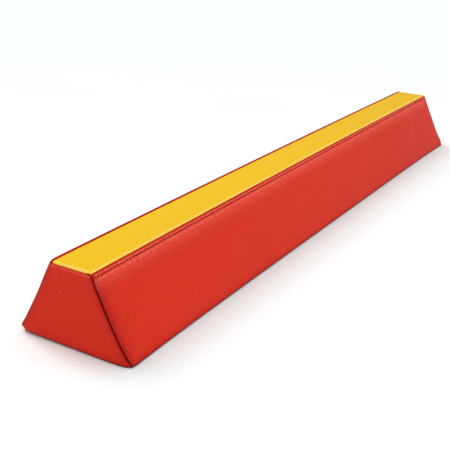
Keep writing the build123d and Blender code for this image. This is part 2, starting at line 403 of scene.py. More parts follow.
def gather(parts):
    """Several sets of points and faces as one."""
    points, faces, count = [], [], 0
    for p, f in parts:
        points.append(p)
        faces += [[i + count for i in face] for face in f]
        count += len(p)
    return np.concatenate(points), faces


# ---- finishes


class Finish:
    """A material built node by node on one Principled shader."""

    def __init__(self, name, **shader):
        self.material = bpy.data.materials.new(name)
        self.material.use_nodes = True
        self.tree = self.material.node_tree
        self.shader = self.tree.nodes["Principled BSDF"]
        for socket, value in shader.items():
            self.shader.inputs[socket.replace("_", " ").title().replace("Ior", "IOR")].default_value = value
        self.place = self.node("ShaderNodeTexCoord").outputs["Object"]

    def node(self, kind, inputs=None, **settings):
        made = self.tree.nodes.new(kind)
        for key, value in settings.items():
            setattr(made, key, value)
        for key, value in (inputs or {}).items():
            if isinstance(value, bpy.types.NodeSocket):
                self.tree.links.new(value, made.inputs[key])
            else:
                made.inputs[key].default_value = value
        return made

    def noise(self, scale, detail=2.0, stretch=None):
        place = self.place
        if stretch:
            place = self.node("ShaderNodeMapping", {"Vector": place, "Scale": stretch}).outputs["Vector"]
        made = self.node("ShaderNodeTexNoise", {"Vector": place, "Scale": scale, "Detail": detail})
        return made.outputs["Fac"]

    def cells(self, scale):
        return self.node("ShaderNodeTexVoronoi", {"Vector": self.place, "Scale": scale}).outputs["Distance"]

    def waves(self, scale, axis, distortion=0.0):
        return self.node(
            "ShaderNodeTexWave",
            {"Vector": self.place, "Scale": scale, "Distortion": distortion},
            wave_type="BANDS",
            bands_direction=axis,
        ).outputs["Fac"]

    def attribute(self, name):
        return self.node("ShaderNodeAttribute", attribute_name=name).outputs["Fac"]

    def fit(self, value, low, high, start=0.3, end=0.7):
        """value, from start..end, as low..high."""
        sockets = {"Value": value, "From Min": start, "From Max": end, "To Min": low, "To Max": high}
        return self.node("ShaderNodeMapRange", sockets).outputs["Result"]

    def combine(self, operation, a, b):
        return self.node("ShaderNodeMath", {0: a, 1: b}, operation=operation).outputs[0]

    def sum(self, a, b, share):
        """a and b added, b in the given share."""
        return self.combine("ADD", a, self.combine("MULTIPLY", b, share))

    def blend(self, factor, a, b):
        mixed = self.node("ShaderNodeMix", data_type="RGBA")
        self.tree.links.new(factor, mixed.inputs["Factor"])
        for socket, value in ((6, a), (7, b)):
            if isinstance(value, bpy.types.NodeSocket):
                self.tree.links.new(value, mixed.inputs[socket])
            else:
                mixed.inputs[socket].default_value = (*value, 1.0)
        return mixed.outputs[2]

    def set(self, socket, value):
        self.tree.links.new(value, self.shader.inputs[socket])

    def bump(self, *heights):
        """Layers of relief as (height, distance in metres, strength), one over another."""
        normal = None
        for value, distance, strength in heights:
            sockets = {"Height": value, "Distance": distance, "Strength": strength}
            if normal:
                sockets["Normal"] = normal
            normal = self.node("ShaderNodeBump", sockets).outputs["Normal"]
        self.set("Normal", normal)
        return self.material


def vinyl(name, colour, faded, shade, crease_shade_colour, highlight_colour, rough, grain=1.0, gloss=0.15):
    """Coated fabric: pebbled grain and slightly uneven colour, with painted shade in the grain's hollows. The
    panels' own attributes take it to a painted shade beside their seams, to a darker painted shade in their
    seams and creases, and to a painted highlight along their rolls and below their stitches."""
    f = Finish(name, Specular_Ior_Level=gloss)
    broad = f.fit(f.noise(5, 3, (0.35, 1, 1)), 0, 1)
    fine = f.fit(f.noise(60, 3), 0, 0.35)
    tint = f.blend(f.combine("MAXIMUM", broad, fine), colour, faded)
    # painted shade, as far as the panel's shade attribute takes it
    tint = f.blend(f.attribute("shade"), tint, shade)
    # painted shade in the hollows of the grain
    hollow_shade = f.fit(f.cells(480), 0, 0.3, 0.25, 0.75)
    tint = f.blend(hollow_shade, tint, shade)
    # painted highlight, in mottled spots, where the panel's attribute asks for it
    highlight_mottle = f.fit(f.noise(430, 3), 0, 1.9, 0.40, 0.68)
    tint = f.blend(f.combine("MULTIPLY", f.attribute("painted_highlight"), highlight_mottle), tint, highlight_colour)
    # painted shade in the seams and creases, which also roughens them
    crease_shade = f.attribute("crease_shade")
    tint = f.blend(crease_shade, tint, crease_shade_colour)
    f.set("Base Color", tint)
    f.set("Roughness", f.sum(f.fit(f.noise(35, 3), rough - 0.05, rough + 0.07), crease_shade, 0.5))
    pebbles = f.sum(f.cells(700), f.noise(1600, 2), 0.6)
    creases = f.noise(330, 3)
    return f.bump((creases, 0.9 * MM, 0.3 * grain), (pebbles, 0.4 * MM, 0.7 * grain))


def thread(name, colour, dark):
    f = Finish(name, Specular_Ior_Level=0.25, Roughness=0.6)
    plies = f.waves(900, "DIAGONAL", 0.4)
    f.set("Base Color", f.blend(f.fit(plies, 0, 1, 0.1, 0.9), dark, colour))
    f.set("Roughness", f.fit(f.noise(300), 0.5, 0.75))
    return f.bump((plies, 0.15 * MM, 0.6), (f.noise(4000, 3), 0.05 * MM, 0.4))


def foam(name, colour, dark, pore, depth):
    f = Finish(name, Specular_Ior_Level=0.25, Roughness=0.9)
    pores = f.cells(pore)
    f.set("Base Color", f.blend(f.fit(pores, 0, 1, 0.15, 0.75), colour, dark))
    f.set("Roughness", f.fit(f.noise(20), 0.82, 0.97))
    return f.bump((f.noise(12, 3), 2 * MM, 0.2), (pores, depth, 0.7))


def woven(name, colour, dark):
    f = Finish(name, Sheen_Weight=0.3, Roughness=0.75)
    warp, weft = f.waves(260, "Y"), f.waves(320, "DIAGONAL")
    weave = f.sum(warp, weft, 0.8)
    f.set("Base Color", f.blend(f.fit(weave, 0, 1, 0.2, 1.5), dark, colour))
    f.set("Roughness", f.fit(f.noise(200), 0.68, 0.85))
    return f.bump((weave, 0.2 * MM, 0.7), (f.noise(2500, 2), 0.05 * MM, 0.3))


def moulded(name, colour, dark):
    f = Finish(name, Specular_Ior_Level=0.5, Roughness=0.35)
    f.set("Base Color", f.blend(f.fit(f.noise(120, 3), 0, 1), colour, dark))
    f.set("Roughness", f.fit(f.noise(260, 2), 0.28, 0.45))
    return f.bump((f.noise(900, 3), 0.05 * MM, 0.25))


def metal(name, colour, dark):
    f = Finish(name, Metallic=1.0, Roughness=0.3)
    brushed = f.noise(300, 4, (0.08, 1, 1))
    f.set("Base Color", f.blend(f.fit(f.noise(90, 3), 0, 1), colour, dark))
    f.set("Roughness", f.fit(brushed, 0.22, 0.42))
    return f.bump((brushed, 0.04 * MM, 0.3), (f.noise(1200, 2), 0.03 * MM, 0.2))


# Each vinyl: its colour and faded colour, its painted shade colour, the darker painted shade inside its
# creases, and its painted highlight colour
yellow = vinyl(
    "yellow_vinyl_finish", colour=(0.79, 0.49, 0.013), faded=(0.76, 0.47, 0.012), shade=(0.70, 0.40, 0.008),
    crease_shade_colour=(0.62, 0.022, 0.002), highlight_colour=(0.92, 0.72, 0.22), rough=0.50, gloss=0.025,
)
red = vinyl(
    "red_vinyl_finish", colour=(0.74, 0.035, 0.0135), faded=(0.71, 0.032, 0.0125), shade=(0.36, 0.006, 0.006),
    crease_shade_colour=(0.040, 0.0006, 0.0006), highlight_colour=(0.95, 0.16, 0.11), rough=0.42, gloss=0.05,
)
dark_base = vinyl(
    "base_vinyl_finish", colour=(0.035, 0.032, 0.034), faded=(0.045, 0.041, 0.043), shade=(0.03, 0.027, 0.029),
    crease_shade_colour=(0.01, 0.01, 0.01), highlight_colour=(0.07, 0.065, 0.067), rough=0.62, grain=2.2,
)
top_thread = thread("topstitch_thread_finish", (0.022, 0.002, 0.002), (0.007, 0.001, 0.001))
seam_thread = thread("seam_thread_finish", (0.40, 0.018, 0.010), (0.20, 0.010, 0.006))
core_foam = foam("core_foam_finish", (0.78, 0.72, 0.52), (0.48, 0.42, 0.26), 420, 1.0 * MM)
deck_foam = foam("deck_foam_finish", (0.30, 0.31, 0.33), (0.16, 0.165, 0.18), 900, 0.4 * MM)
tape_cloth = woven("zip_tape_finish", (0.060, 0.058, 0.062), (0.018, 0.017, 0.019))
coil_plastic = moulded("zip_coil_finish", (0.050, 0.049, 0.052), (0.030, 0.029, 0.031))
nickel = metal("zip_metal_finish", (0.62, 0.60, 0.57), (0.48, 0.46, 0.44))


# ---- the cover's overall shape

BOW = 3.0 * MM  # the long top edges stand higher in the middle than at the ends
# How far each end seam stands out: low at the front, low at the rear, below the top, and at the top
SHIFT_LOW, SHIFT_REAR, SHIFT_HIGH, SHIFT_TOP = 0.5 * MM, 8.0 * MM, 3.8 * MM, 2.8 * MM
BASE_OUT = 8.0 * MM  # the end panel's bottom edge bows outwards, most towards the front
# From what height each of them changes, and over what height
LOW_GROWS, HIGH_GROWS = (-6 * MM, 20 * MM), (5 * MM, 110 * MM)
TOP_GROWS, BASE_OUT_ENDS = (158 * MM, 20 * MM), (0, 45 * MM)
SHIFT_REACH = 28 * MM


def end_shift(y, z):
    """How far an end seam stands out of the ideal end plane."""
    rising = ramp(z, *HIGH_GROWS)
    u = np.clip(y / np.maximum(half_base - flare * z, half_top), -1, 1)
    low = (SHIFT_LOW + (SHIFT_REAR - SHIFT_LOW) * (0.5 + 0.5 * u)) * ramp(z, *LOW_GROWS)
    out = low + (SHIFT_HIGH - low) * rising
    out = out - (SHIFT_HIGH - SHIFT_TOP) * ramp(z, *TOP_GROWS)
    return out + BASE_OUT * (1 - ramp(z, *BASE_OUT_ENDS)) * (1 - u**6) * (0.5 - 0.5 * u)


# How far the cover pulls in at an end seam, and over what length. A side's pull grows up from the floor and
# is partly lost near the top.
SIDE_ROLL, SIDE_ROLL_REACH = 2.2 * MM, 26 * MM
TOP_ROLL = 0.8 * MM
ROLL_GROWS, ROLL_LOSS, ROLL_LOSS_REACH = 40 * MM, 0.6, 70 * MM


def end_pull(z):
    """How far the sides pull in at an end seam, between its corners."""
    return SIDE_ROLL * ramp(z, 0, ROLL_GROWS) * (1 - ROLL_LOSS * (1 - ramp(height - z, 0, ROLL_LOSS_REACH)))


# How far each bottom corner spreads and how far it is blunted, by the ends and sides that meet there
CORNERS = {
    (-1, -1): (7.0 * MM, 3.0 * MM),
    (-1, 1): (4.0 * MM, 8.0 * MM),
    (1, -1): (7.0 * MM, 7.5 * MM),
    (1, 1): (3.0 * MM, 7.0 * MM),
}
SPLAY_REACH, SPLAY_HEIGHT, BLUNT_REACH = 160 * MM, 70 * MM, 12 * MM
BLUNT_IN, BLUNT_UP = 0.7, 0.35  # the shares of the blunting that go inwards each way, and upwards


def settle(points):
    """Lifts the cover in proportion to height, most at mid-length, and spreads and blunts its bottom
    corners."""
    x, y, z = (points[..., k].copy() for k in range(3))
    from_end = np.maximum(half_length - np.abs(x), 0)
    from_side = np.maximum(half_base - flare * z - np.abs(y), 0)
    low = (1 - np.clip(z / SPLAY_HEIGHT, 0, 1)) ** 2 * (y / half_base) ** 2 * np.exp(-from_end / SPLAY_REACH)
    near = np.exp(-(from_end**2 + from_side**2 + np.maximum(z, 0) ** 2) / BLUNT_REACH**2)
    for (end, side), (spread_out, blunt) in CORNERS.items():
        here = (np.sign(x) == end) & (np.sign(y) == side)
        points[..., 0] -= here * end * blunt * BLUNT_IN * near
        points[..., 1] += here * side * (spread_out * low - blunt * BLUNT_IN * near)
        points[..., 2] += here * blunt * BLUNT_UP * near
    points[..., 2] += BOW * (1 - np.clip(np.abs(x) / half_length, 0, 1) ** 2) * np.clip(z / height, 0, 1)
    return points


PLAIN_END = end_edge(END_ROUND, 45, END_GROOVE)
TOP_END = end_edge(TOP_END_ROUND, TOP_END_TURN, GROOVE)
TOP_OF_END = end_edge(TOP_END_ROUND, 90 - TOP_END_TURN, GROOVE)
BASE_END = end_edge(BASE_END_ROUND, BASE_END_TURN, BASE_GROOVE)
BASE_OF_END = end_edge(BASE_END_ROUND, 90 - BASE_END_TURN, BASE_GROOVE)


def edge_run(edge):
    """Distance from the crease over each point of an end edge, from inside the seam out to the face, and the
    distance at the face."""
    points = np.vstack([[edge.start, 0.0], edge.points])
    run = np.concatenate([[0], np.cumsum(np.linalg.norm(np.diff(points, axis=0), axis=1))])
    return (run[END_CREASE] - run)[:0:-1], run[END_CREASE]


# A panel's inside keeps this many more columns at each end, and one in so many between
INSIDE_FINE, INSIDE_EVERY = 5, 8


def carried(section, wraps, own_end, spacing):
    """Carries a section along the beam and rolls it into both end seams. wraps says how far each row takes
    its own kind of end rather than the plain one. Gives points, pushes, distance from the nearer end seam,
    and the columns that the inside keeps."""
    plain, own = PLAIN_END.points[::-1], own_end.points[::-1]
    edge = plain[None] + (own - plain)[None] * wraps[:, None, None]
    inner = spread(END_START, 2 * half_length - END_START, spacing)
    rows = len(section.points)
    middle = np.stack([np.tile(inner, (rows, 1)), np.zeros((rows, len(inner)))], -1)
    far = edge[:, ::-1] * [-1, 1] + [2 * half_length, 0]
    line = np.concatenate([edge, middle, far], axis=1)
    x = line[..., 0] - half_length
    rolled, at_face = edge_run(PLAIN_END)
    from_face = np.minimum(inner, 2 * half_length - inner) - END_START + at_face
    from_end = np.broadcast_to(np.concatenate([rolled, from_face, rolled[::-1]]), x.shape)
    shift = end_shift(*section.points.T)[:, None]
    x = x + np.sign(x) * shift * np.exp(-np.maximum(from_end, 0) / SHIFT_REACH)
    push = np.zeros((*x.shape, 3))
    push[..., 1:] = section.push[:, None]
    points = np.zeros((*x.shape, 3))
    points[..., 0] = x
    points[..., 1:] = section.points[:, None] + section.push[:, None] * line[..., 1:2]
    fine, columns = len(plain) + INSIDE_FINE, len(x[0])
    keep = [*range(fine), *range(fine, columns - fine, INSIDE_EVERY), *range(columns - fine, columns)]
    return points, push, from_end, keep


STITCH_PITCH = 10.05 * MM
PUCKER_PITCH = 6.4 * MM
gathers = undulation([0.021, 0.034, 0.052, 0.083])


def puckers(x):
    """Small gathers along a seam, irregular in height."""
    phase = 2 * math.pi * x / PUCKER_PITCH + 1.4 * gathers(x, 0 * x)
    return np.cos(phase) * (0.65 + 0.35 * gathers(x + 0.4, 0 * x))


def crease_shade_falloff(distance, strength, full, fade):
    """Painted crease shade in strength as far as full from a seam, gone after a further length of fade."""
    return strength * np.clip((full + fade - distance) / fade, 0, 1)


# Heights of the relief, and how far in from the seams its waves reach theirs
BROAD_WAVES, SMALL_WAVES, WAVES_REACH = 0.30 * MM, 0.10 * MM, 30 * MM
END_PUCKERS, FRONT_PUCKERS, BAND_PUCKERS = 0.22 * MM, 0.34 * MM, 0.22 * MM
BAND_RISE, BELOW_RISE, STITCH_SINK, STITCH_WAVE = 0.9 * MM, 1.0 * MM, 1.2 * MM, 0.18 * MM
LAP_RISE = 0.9 * MM

# Painted shade inside the seams and creases: the strength, how far it is full and over what length it fades
END_CREASE_SHADE = (1.0, 0.08 * MM, 1.6 * MM)
STRIP_FRONT_SHADE, STRIP_REAR_SHADE = (0.95, 1.44 * MM, 1.2 * MM), (0.95, 0.6 * MM, 1.0 * MM)
CREASE_SHADE, FOOT_SHADE = (0.10, 0.6 * MM, 1.0 * MM), (0.85, 1.92 * MM, 1.6 * MM)

# Painted highlights on the rolls, the band and below the stitches: the strength, how far from the crease (or
# past the stitches) and over what width
END_HIGHLIGHT, RIM_HIGHLIGHT = (0.6, 2.6 * MM, 1.5 * MM), (1.25, 4.3 * MM, 2.4 * MM)
RIM_WIDENS = 2.2 * MM  # the painted highlight along the strip's front rim widens by this towards the right end
RIDGE_HIGHLIGHT, BELOW_HIGHLIGHT = (0.8, -4.1 * MM, 1.8 * MM), (0.70, 5.5 * MM, 5.5 * MM)
BROAD_HIGHLIGHT = (0.30, 12 * MM, 14 * MM)

RIGHT_SHADE, STRIP_CROWN, SIDE_CROWN = 0.45, 1.6 * MM, 3.0 * MM
STITCH_CLEAR = 9 * MM  # the topstitching's relief stops this far from the end seams


# a painted highlight in a band at place, of this strength and width
def highlight_at(distance, strength, place, width):
    return strength * bell(distance - place, width)


def crown(section, x, rise, near_seam):
    """How far a filled panel stands out of its flat section: its swelling, a little uneven away from the
    seams."""
    width = section.width
    swelling = swell([(0, 0), (2 * half_length, 0), (2 * half_length, width), (0, width)], 90, 10, rise)
    spot = np.broadcast_to(section.across[:, None], x.shape)
    broad, small = undulation([0.31, 0.23, 0.17, 0.44]), undulation([0.085, 0.062, 0.11])
    uneven = BROAD_WAVES * broad(x, spot * width) + SMALL_WAVES * small(x, spot * width)
    filled = sample(swelling, (x + half_length) / (2 * half_length), spot)
    return filled + uneven * ramp(near_seam, 0, WAVES_REACH)


def topstitched(a, b, x, from_end, clear_of_ends, stitched_at):
    """A side's relief from topstitching at stitched_at from crease A, with its painted crease shade, painted
    highlights and painted shade.
    """
    past = a - stitched_at
    wave = np.cos(2 * math.pi * x / STITCH_PITCH)
    band = ramp(a, 0, 2.5 * MM) * (1 - ramp(past, -2.6 * MM, 2.6 * MM))
    below = ramp(past, 0, 3.5 * MM) * (1 - ramp(past, 4 * MM, 22 * MM))
    groove = bell(past, 1.3 * MM) * (0.72 + 0.28 * wave)
    relief = BAND_RISE * band + BELOW_RISE * below - STITCH_SINK * groove
    relief += STITCH_WAVE * wave * bell(past - 3 * MM, 4.5 * MM)
    relief += BAND_PUCKERS * puckers(x) * bell(a - 1.8 * MM, 2.2 * MM)
    # painted shade in the stitches' groove, strongest at each stitch, and along the base seam
    crease_shade = 0.95 * bell(past, 1.2 * MM) * (0.5 + 0.5 * wave) * clear_of_ends
    crease_shade = np.maximum(crease_shade, crease_shade_falloff(b, *FOOT_SHADE))
    # painted highlights on the band above the stitches, below them and broadly over the side
    painted_highlight = np.maximum(highlight_at(past, *RIDGE_HIGHLIGHT), highlight_at(past, *BELOW_HIGHLIGHT)) * clear_of_ends
    painted_highlight = np.maximum(painted_highlight, highlight_at(past, *BROAD_HIGHLIGHT))
    # painted shade beside the end seams, along the top crease and towards the base
    shade = 0.95 * np.exp(-np.maximum(from_end - 1 * MM, 0) / (11 * MM))
    shade = np.maximum(np.maximum(shade, 0.95 * bell(a, 2.0 * MM)), 0.7 * bell(b, 8 * MM))
    return relief * clear_of_ends, crease_shade, painted_highlight, shade


def long_panel(name, section, wraps, own_end, rise, stitched_at, finish, node, spacing):
    """One of the cover's long panels. rise is its crown, 0 for a flat one. stitched_at is how far its
    topstitching is from crease A, if it has any."""
    points, push, from_end, keep = carried(section, wraps, own_end, spacing)
    x, y, z = (points[..., k] for k in range(3))
    a, b = (np.broadcast_to(d[:, None], x.shape) for d in (section.from_a, section.from_b))
    clear_of_ends = ramp(from_end, 0, STITCH_CLEAR)
    out, painted_highlight, shade = (np.zeros_like(x) for _ in range(3))
    # painted shade inside the end seams, half as strong on the rear side, and inside the long creases
    crease_shade = crease_shade_falloff(from_end, *END_CREASE_SHADE) * (0.5 if section is rear_side else 1)
    if section is strip:
        crease_shade = np.maximum(crease_shade, np.maximum(crease_shade_falloff(b, *STRIP_FRONT_SHADE), crease_shade_falloff(a, *STRIP_REAR_SHADE)))
    else:
        crease_shade = np.maximum(crease_shade, crease_shade_falloff(a, *CREASE_SHADE))
    if rise:
        out += crown(section, x, rise, np.minimum(np.minimum(a, b), from_end))
        pull = TOP_ROLL if section is strip else end_pull(section.points[:, 1])[:, None]
        out -= pull * (1 - np.clip(from_end / SIDE_ROLL_REACH, 0, 1)) ** 2
        out += END_PUCKERS * puckers(y + 0.6 * z) * bell(from_end - 2.5 * MM, 3 * MM)
        # painted highlight along the rolled edges at the end seams
        painted_highlight = highlight_at(from_end, *END_HIGHLIGHT) * wraps[:, None]
    if stitched_at:
        marks = topstitched(a, b, x, from_end, clear_of_ends, stitched_at)
        out += marks[0]
        crease_shade, painted_highlight, shade = (np.maximum(old, new) for old, new in zip((crease_shade, painted_highlight, shade), marks[1:]))
        if section is rear_side:
            past_lap = a - REAR_LAP
            # painted shade over the rear lap, with the painted highlight kept off it
            shade = np.maximum(shade, 0.85 * (1 - ramp(past_lap, 0, 8 * MM)))
            painted_highlight = painted_highlight * ramp(past_lap, 0, 8 * MM)
            out += LAP_RISE * ramp(a, 0, 2 * MM) * (1 - ramp(past_lap, 0, 6 * MM)) * clear_of_ends
    elif rise:
        out += FRONT_PUCKERS * puckers(x) * bell(b - 2.0 * MM, 2.6 * MM) * clear_of_ends
        # painted shade, and a wider rim highlight, towards the right end, standing in for the light falling
        # off there
        rightwards = ramp(x, -0.2 * half_length, 1.2 * half_length)
        # painted highlight along the strip's front rim, broken by the puckers
        strength, place, width = RIM_HIGHLIGHT
        rim = highlight_at(b, strength, place, width + RIM_WIDENS * rightwards)
        shade = np.maximum(shade, RIGHT_SHADE * rightwards * (1 - np.clip(rim, 0, 1)))
        painted_highlight = np.maximum(painted_highlight, rim * (0.75 + 0.25 * np.cos(2 * math.pi * x / PUCKER_PITCH)))
    points = settle(points + push * out[..., None])
    mesh_points, faces = skin(points, push, PLY, keep)
    # the painted crease shade, painted highlight and painted shade go onto the mesh as attributes
    layers = {
        key: np.concatenate([layer.ravel(), layer[:, keep].ravel()])
        for key, layer in (("crease_shade", crease_shade), ("painted_highlight", painted_highlight), ("shade", shade))
    }
    piece = build(name, mesh_points, faces, finish, node, layers)
    return points, push


def row_at(section, distance):
    return int(np.argmin(np.abs(section.from_a - distance)))


down_front, down_rear = np.array([-flare, -1]) / slope, np.array([flare, -1]) / slope
out_front, out_rear = np.array([-1, flare]) / slope, np.array([1, flare]) / slope

strip = Section(
    (half_top - REAR_LAP, height), (-1, 0), (0, 1), 2 * half_top - REAR_LAP,
    flat_edge(), round_edge(FRONT_ROUND, FRONT_TURN, TOP_TURN), 4.2 * MM,
)
base_side_edge = round_edge(BASE_ROUND, BASE_SIDE_TURN, BASE_TURN, BASE_GROOVE)
front_side = Section(
    (-half_top, height), down_front, out_front, side_width,
    round_edge(FRONT_ROUND, TOP_TURN - FRONT_TURN, TOP_TURN), base_side_edge, 12 * MM, 13 * MM,
)
rear_side = Section(
    (half_top, height), down_rear, out_rear, side_width,
    lapped_edge(REAR_ROUND, TOP_TURN, REAR_LAP), base_side_edge, 12 * MM, 9 * MM,
)
base_edge = round_edge(BASE_ROUND, BASE_TURN - BASE_SIDE_TURN, BASE_TURN, BASE_GROOVE)
base_width = half_base - slot_half
front_base = Section((-half_base, 0), (1, 0), (0, -1), base_width, base_edge, hem_edge(), 12 * MM)
rear_base = Section((half_base, 0), (-1, 0), (0, -1), base_width, base_edge, hem_edge(), 12 * MM)


def along_top(section):
    """1 for a section's rows along the beam's top face, easing to 0 at the corners."""
    y, z = section.points.T
    return ramp(half_top - np.abs(y), 4 * MM, 9 * MM) * (z > height - 6 * MM)


long_panel(
    "walking_strip", strip, along_top(strip), TOP_END, STRIP_CROWN, 0, yellow, "top_panel",
    1.7 * MM,
)
front_grid, front_push = long_panel(
    "front_side_skin", front_side, 0 * front_side.across, PLAIN_END, SIDE_CROWN, TOPSTITCH, red,
    "front_side_panel", 1.9 * MM,
)
rear_grid, rear_push = long_panel(
    "rear_side_skin", rear_side, along_top(rear_side), TOP_END, SIDE_CROWN, REAR_STITCH, red,
    "rear_side_panel", 2.0 * MM,
)
for name, section in (("front", front_base), ("rear", rear_base)):
    from_side = ramp(section.across * section.width, 2 * MM, 9 * MM)
    long_panel(
        f"{name}_base_skin", section, from_side, BASE_END, 0, 0, dark_base,
        f"{name}_base_panel", 4 * MM,
    )


# ---- end panels

END_CROWN, END_UNEVEN = 5.0 * MM, 0.35 * MM
RING_COUNTS = (96, 68, 36, 68)  # points along each edge of the outline
CORNER_COUNT = 10  # and round each corner
# The end's corners, in order round its outline, with their rounding
END_CORNERS = [
    (-half_base, 0, BASE_ROUND),
    (half_base, 0, BASE_ROUND),
    (half_top, height, REAR_ROUND),
    (-half_top, height, FRONT_ROUND),
]
LEAST_ROUND, ROUND_LOSS = 1.2 * MM, 0.6  # a corner gets tighter as the outline is inset
# Where the rings lie between the border and the centre
RING_SHARES = [0, 0.008, 0.018, 0.03, 0.045, 0.065, 0.09, 0.12, *np.linspace(0.16, 0.97, 22)]


def unit(v):
    return v / np.linalg.norm(v)


def outline(inset, top_inset, base_inset):
    """The end's rounded outline, inset from its edges, as points that keep their places at every inset."""
    places = [np.array(corner[:2]) for corner in END_CORNERS]
    lines = []
    for i, d in enumerate((base_inset, inset, top_inset, inset)):
        way = unit(places[(i + 1) % 4] - places[i])
        lines.append((places[i] + np.array([-way[1], way[0]]) * d, way))
    corners = []
    for i in range(4):
        (p, u), (q, v) = lines[i - 1], lines[i]
        corners.append(p + u * np.linalg.solve(np.array([u, -v]).T, q - p)[0])
    rounds = [max(corner[2] - inset * ROUND_LOSS, LEAST_ROUND) for corner in END_CORNERS]
    result = []
    for i in range(4):
        a, b, c = corners[i], corners[(i + 1) % 4], corners[(i + 2) % 4]
        u, v, w = unit(a - corners[i - 1]), unit(b - a), unit(c - b)
        turn, next_turn = math.acos(np.clip(u @ v, -1, 1)), math.acos(np.clip(v @ w, -1, 1))
        radius, next_radius = rounds[i], rounds[(i + 1) % 4]
        first, last = a + v * radius * math.tan(turn / 2), b - v * next_radius * math.tan(next_turn / 2)
        centre = first + np.array([-v[1], v[0]]) * radius
        for k in range(CORNER_COUNT):
            angle = math.atan2(-u[0], u[1]) + turn * k / CORNER_COUNT
            result.append(centre + radius * np.array([math.cos(angle), math.sin(angle)]))
        # closer together near the corners, so that each point keeps its share
        even = np.linspace(0, 1, RING_COUNTS[i] + 1)[:-1]
        share = 0.45 * (1 - np.cos(math.pi * even)) / 2 + 0.55 * even
        result += [first + (last - first) * s for s in share]
    return np.array(result)


def inside_distance(y, z):
    """Distance in from the end's ideal edges, eased where two of them meet."""
    ease = 5 * MM
    to_side = (half_base - flare * z - np.abs(y)) / slope
    total = np.exp(-to_side / ease) + np.exp(-z / ease) + np.exp(-(height - z) / ease)
    return -ease * np.log(total)


def end_relief(y, z, dist, from_seam):
    """How far the end's face stands out of its plane: its crown, unevenness, rolled rim and puckers."""
    half = half_base - (half_base - half_top) * np.clip(z / height, 0, 1)
    quad = [(-half_base, 0), (half_base, 0), (half_top, height), (-half_top, height)]
    swelling = swell(quad, 20, 14, END_CROWN)
    out = sample(swelling, np.clip((y + half) / (2 * half), 0, 1), np.clip(z / height, 0, 1))
    uneven = undulation([0.07, 0.11, 0.16])
    out += END_UNEVEN * uneven(y, z) * ramp(dist, 0, 35 * MM)
    out -= 1.8 * MM * (1 - np.clip(dist / (14 * MM), 0, 1)) ** 2
    out += 0.26 * MM * puckers(y + z * 0.6) * bell(from_seam - 2.5 * MM, 3.0 * MM)
    return out + end_shift(y, z) * np.exp(-np.maximum(from_seam, 0) / SHIFT_REACH)


def end_panel(name, sign, node):
    """An end panel, as rings from inside its seam in to its centre."""
    plain, top, base = (edge.points[::-1] for edge in (PLAIN_END, TOP_OF_END, BASE_OF_END))
    border, centre = outline(END_START, END_START, END_START), np.array([0, height * 0.45])
    from_middle = np.abs(border[:, 0])
    on_top = ramp(half_top - from_middle, 2 * MM, 9 * MM) * (border[:, 1] > height - 14 * MM)
    on_base = ramp(half_base - from_middle, 18 * MM, 9 * MM) * (border[:, 1] < 14 * MM)
    run, at_face = edge_run(PLAIN_END)
    rings = [outline(*insets) for insets in zip(plain[:, 0], top[:, 0], base[:, 0])]
    rings += [border + (centre - border) * t for t in RING_SHARES]
    rolls = [h + (g - h) * on_top + (k - h) * on_base for h, g, k in zip(plain[:, 1], top[:, 1], base[:, 1])]
    rolled = np.array(rolls + [np.zeros(len(border))] * len(RING_SHARES))
    y, z = np.moveaxis(np.array(rings), -1, 0)
    dist = np.maximum(inside_distance(y, z), 0)
    fade = (1 - np.concatenate([np.zeros(len(plain)), RING_SHARES])[:, None]) ** 3
    pull = end_pull(z) * (1 - on_top) * (1 - on_base) * fade
    y, z = y - np.sign(y) * pull / slope, z - pull * flare / slope - TOP_ROLL * on_top * fade
    from_seam = dist - END_START + at_face
    from_seam[: len(run)] = run[:, None]
    out = end_relief(y, z, dist, from_seam) + rolled
    points = settle(np.stack([sign * (half_length + out), y, z], -1))
    push = np.zeros_like(points)
    push[..., 0] = sign
    inner = points - normals_of(points, push, loop=True) * PLY

    rows, columns = points.shape[:2]
    at = np.arange(rows * columns).reshape(rows, columns)
    total = rows * columns
    outside = quads(at, np.roll(at, -1, axis=1))
    faces = outside.tolist() + (outside[:, ::-1] + total).tolist()
    rim, hub = at[0].tolist(), at[-1].tolist()
    for a, b, c, d in zip(rim, rim[1:] + rim[:1], hub, hub[1:] + hub[:1]):
        faces += [[a, b, b + total, a + total], [c, d, 2 * total], [d + total, c + total, 2 * total + 1]]
    middle = points[-1].mean(0)
    every = np.concatenate([points.reshape(-1, 3), inner.reshape(-1, 3), [middle, middle - push[0, 0] * PLY]])

    # painted shade in the end seam's crease, fainter along the top and towards the rear, and along the base
    # seam
    crease_shade = crease_shade_falloff(from_seam, 1.0, 0.14 * MM, 1.4 * MM) * (1 - 0.75 * on_top) * (1 - 0.6 * ramp(y, 0, 30 * MM))
    crease_shade = np.maximum(crease_shade, crease_shade_falloff(z, 0.9, 1.44 * MM, 1.6 * MM) * on_base)
    # painted shade beside the end seam, darkest at it and spreading further except along the top
    shade = 0.6 * np.exp(-np.maximum(from_seam - 1 * MM, 0) / (6 * MM)) * (1 - on_top)
    shade = np.maximum(shade, 0.8 * bell(from_seam, 2.2 * MM))
    # painted highlight along the end's rolled top edge
    painted_highlight = highlight_at(from_seam, 0.5, 3.6 * MM, 2.4 * MM) * on_top
    marks = (("crease_shade", crease_shade), ("painted_highlight", painted_highlight), ("shade", shade))
    layers = {key: np.concatenate([v.ravel(), v.ravel(), [0, 0]]) for key, v in marks}
    piece = build(name, every, faces, red, node, layers)
    return points


left_grid = end_panel("left_end_skin", -1, "left_end_panel")
right_grid = end_panel("right_end_skin", 1, "right_end_panel")


# ---- threads

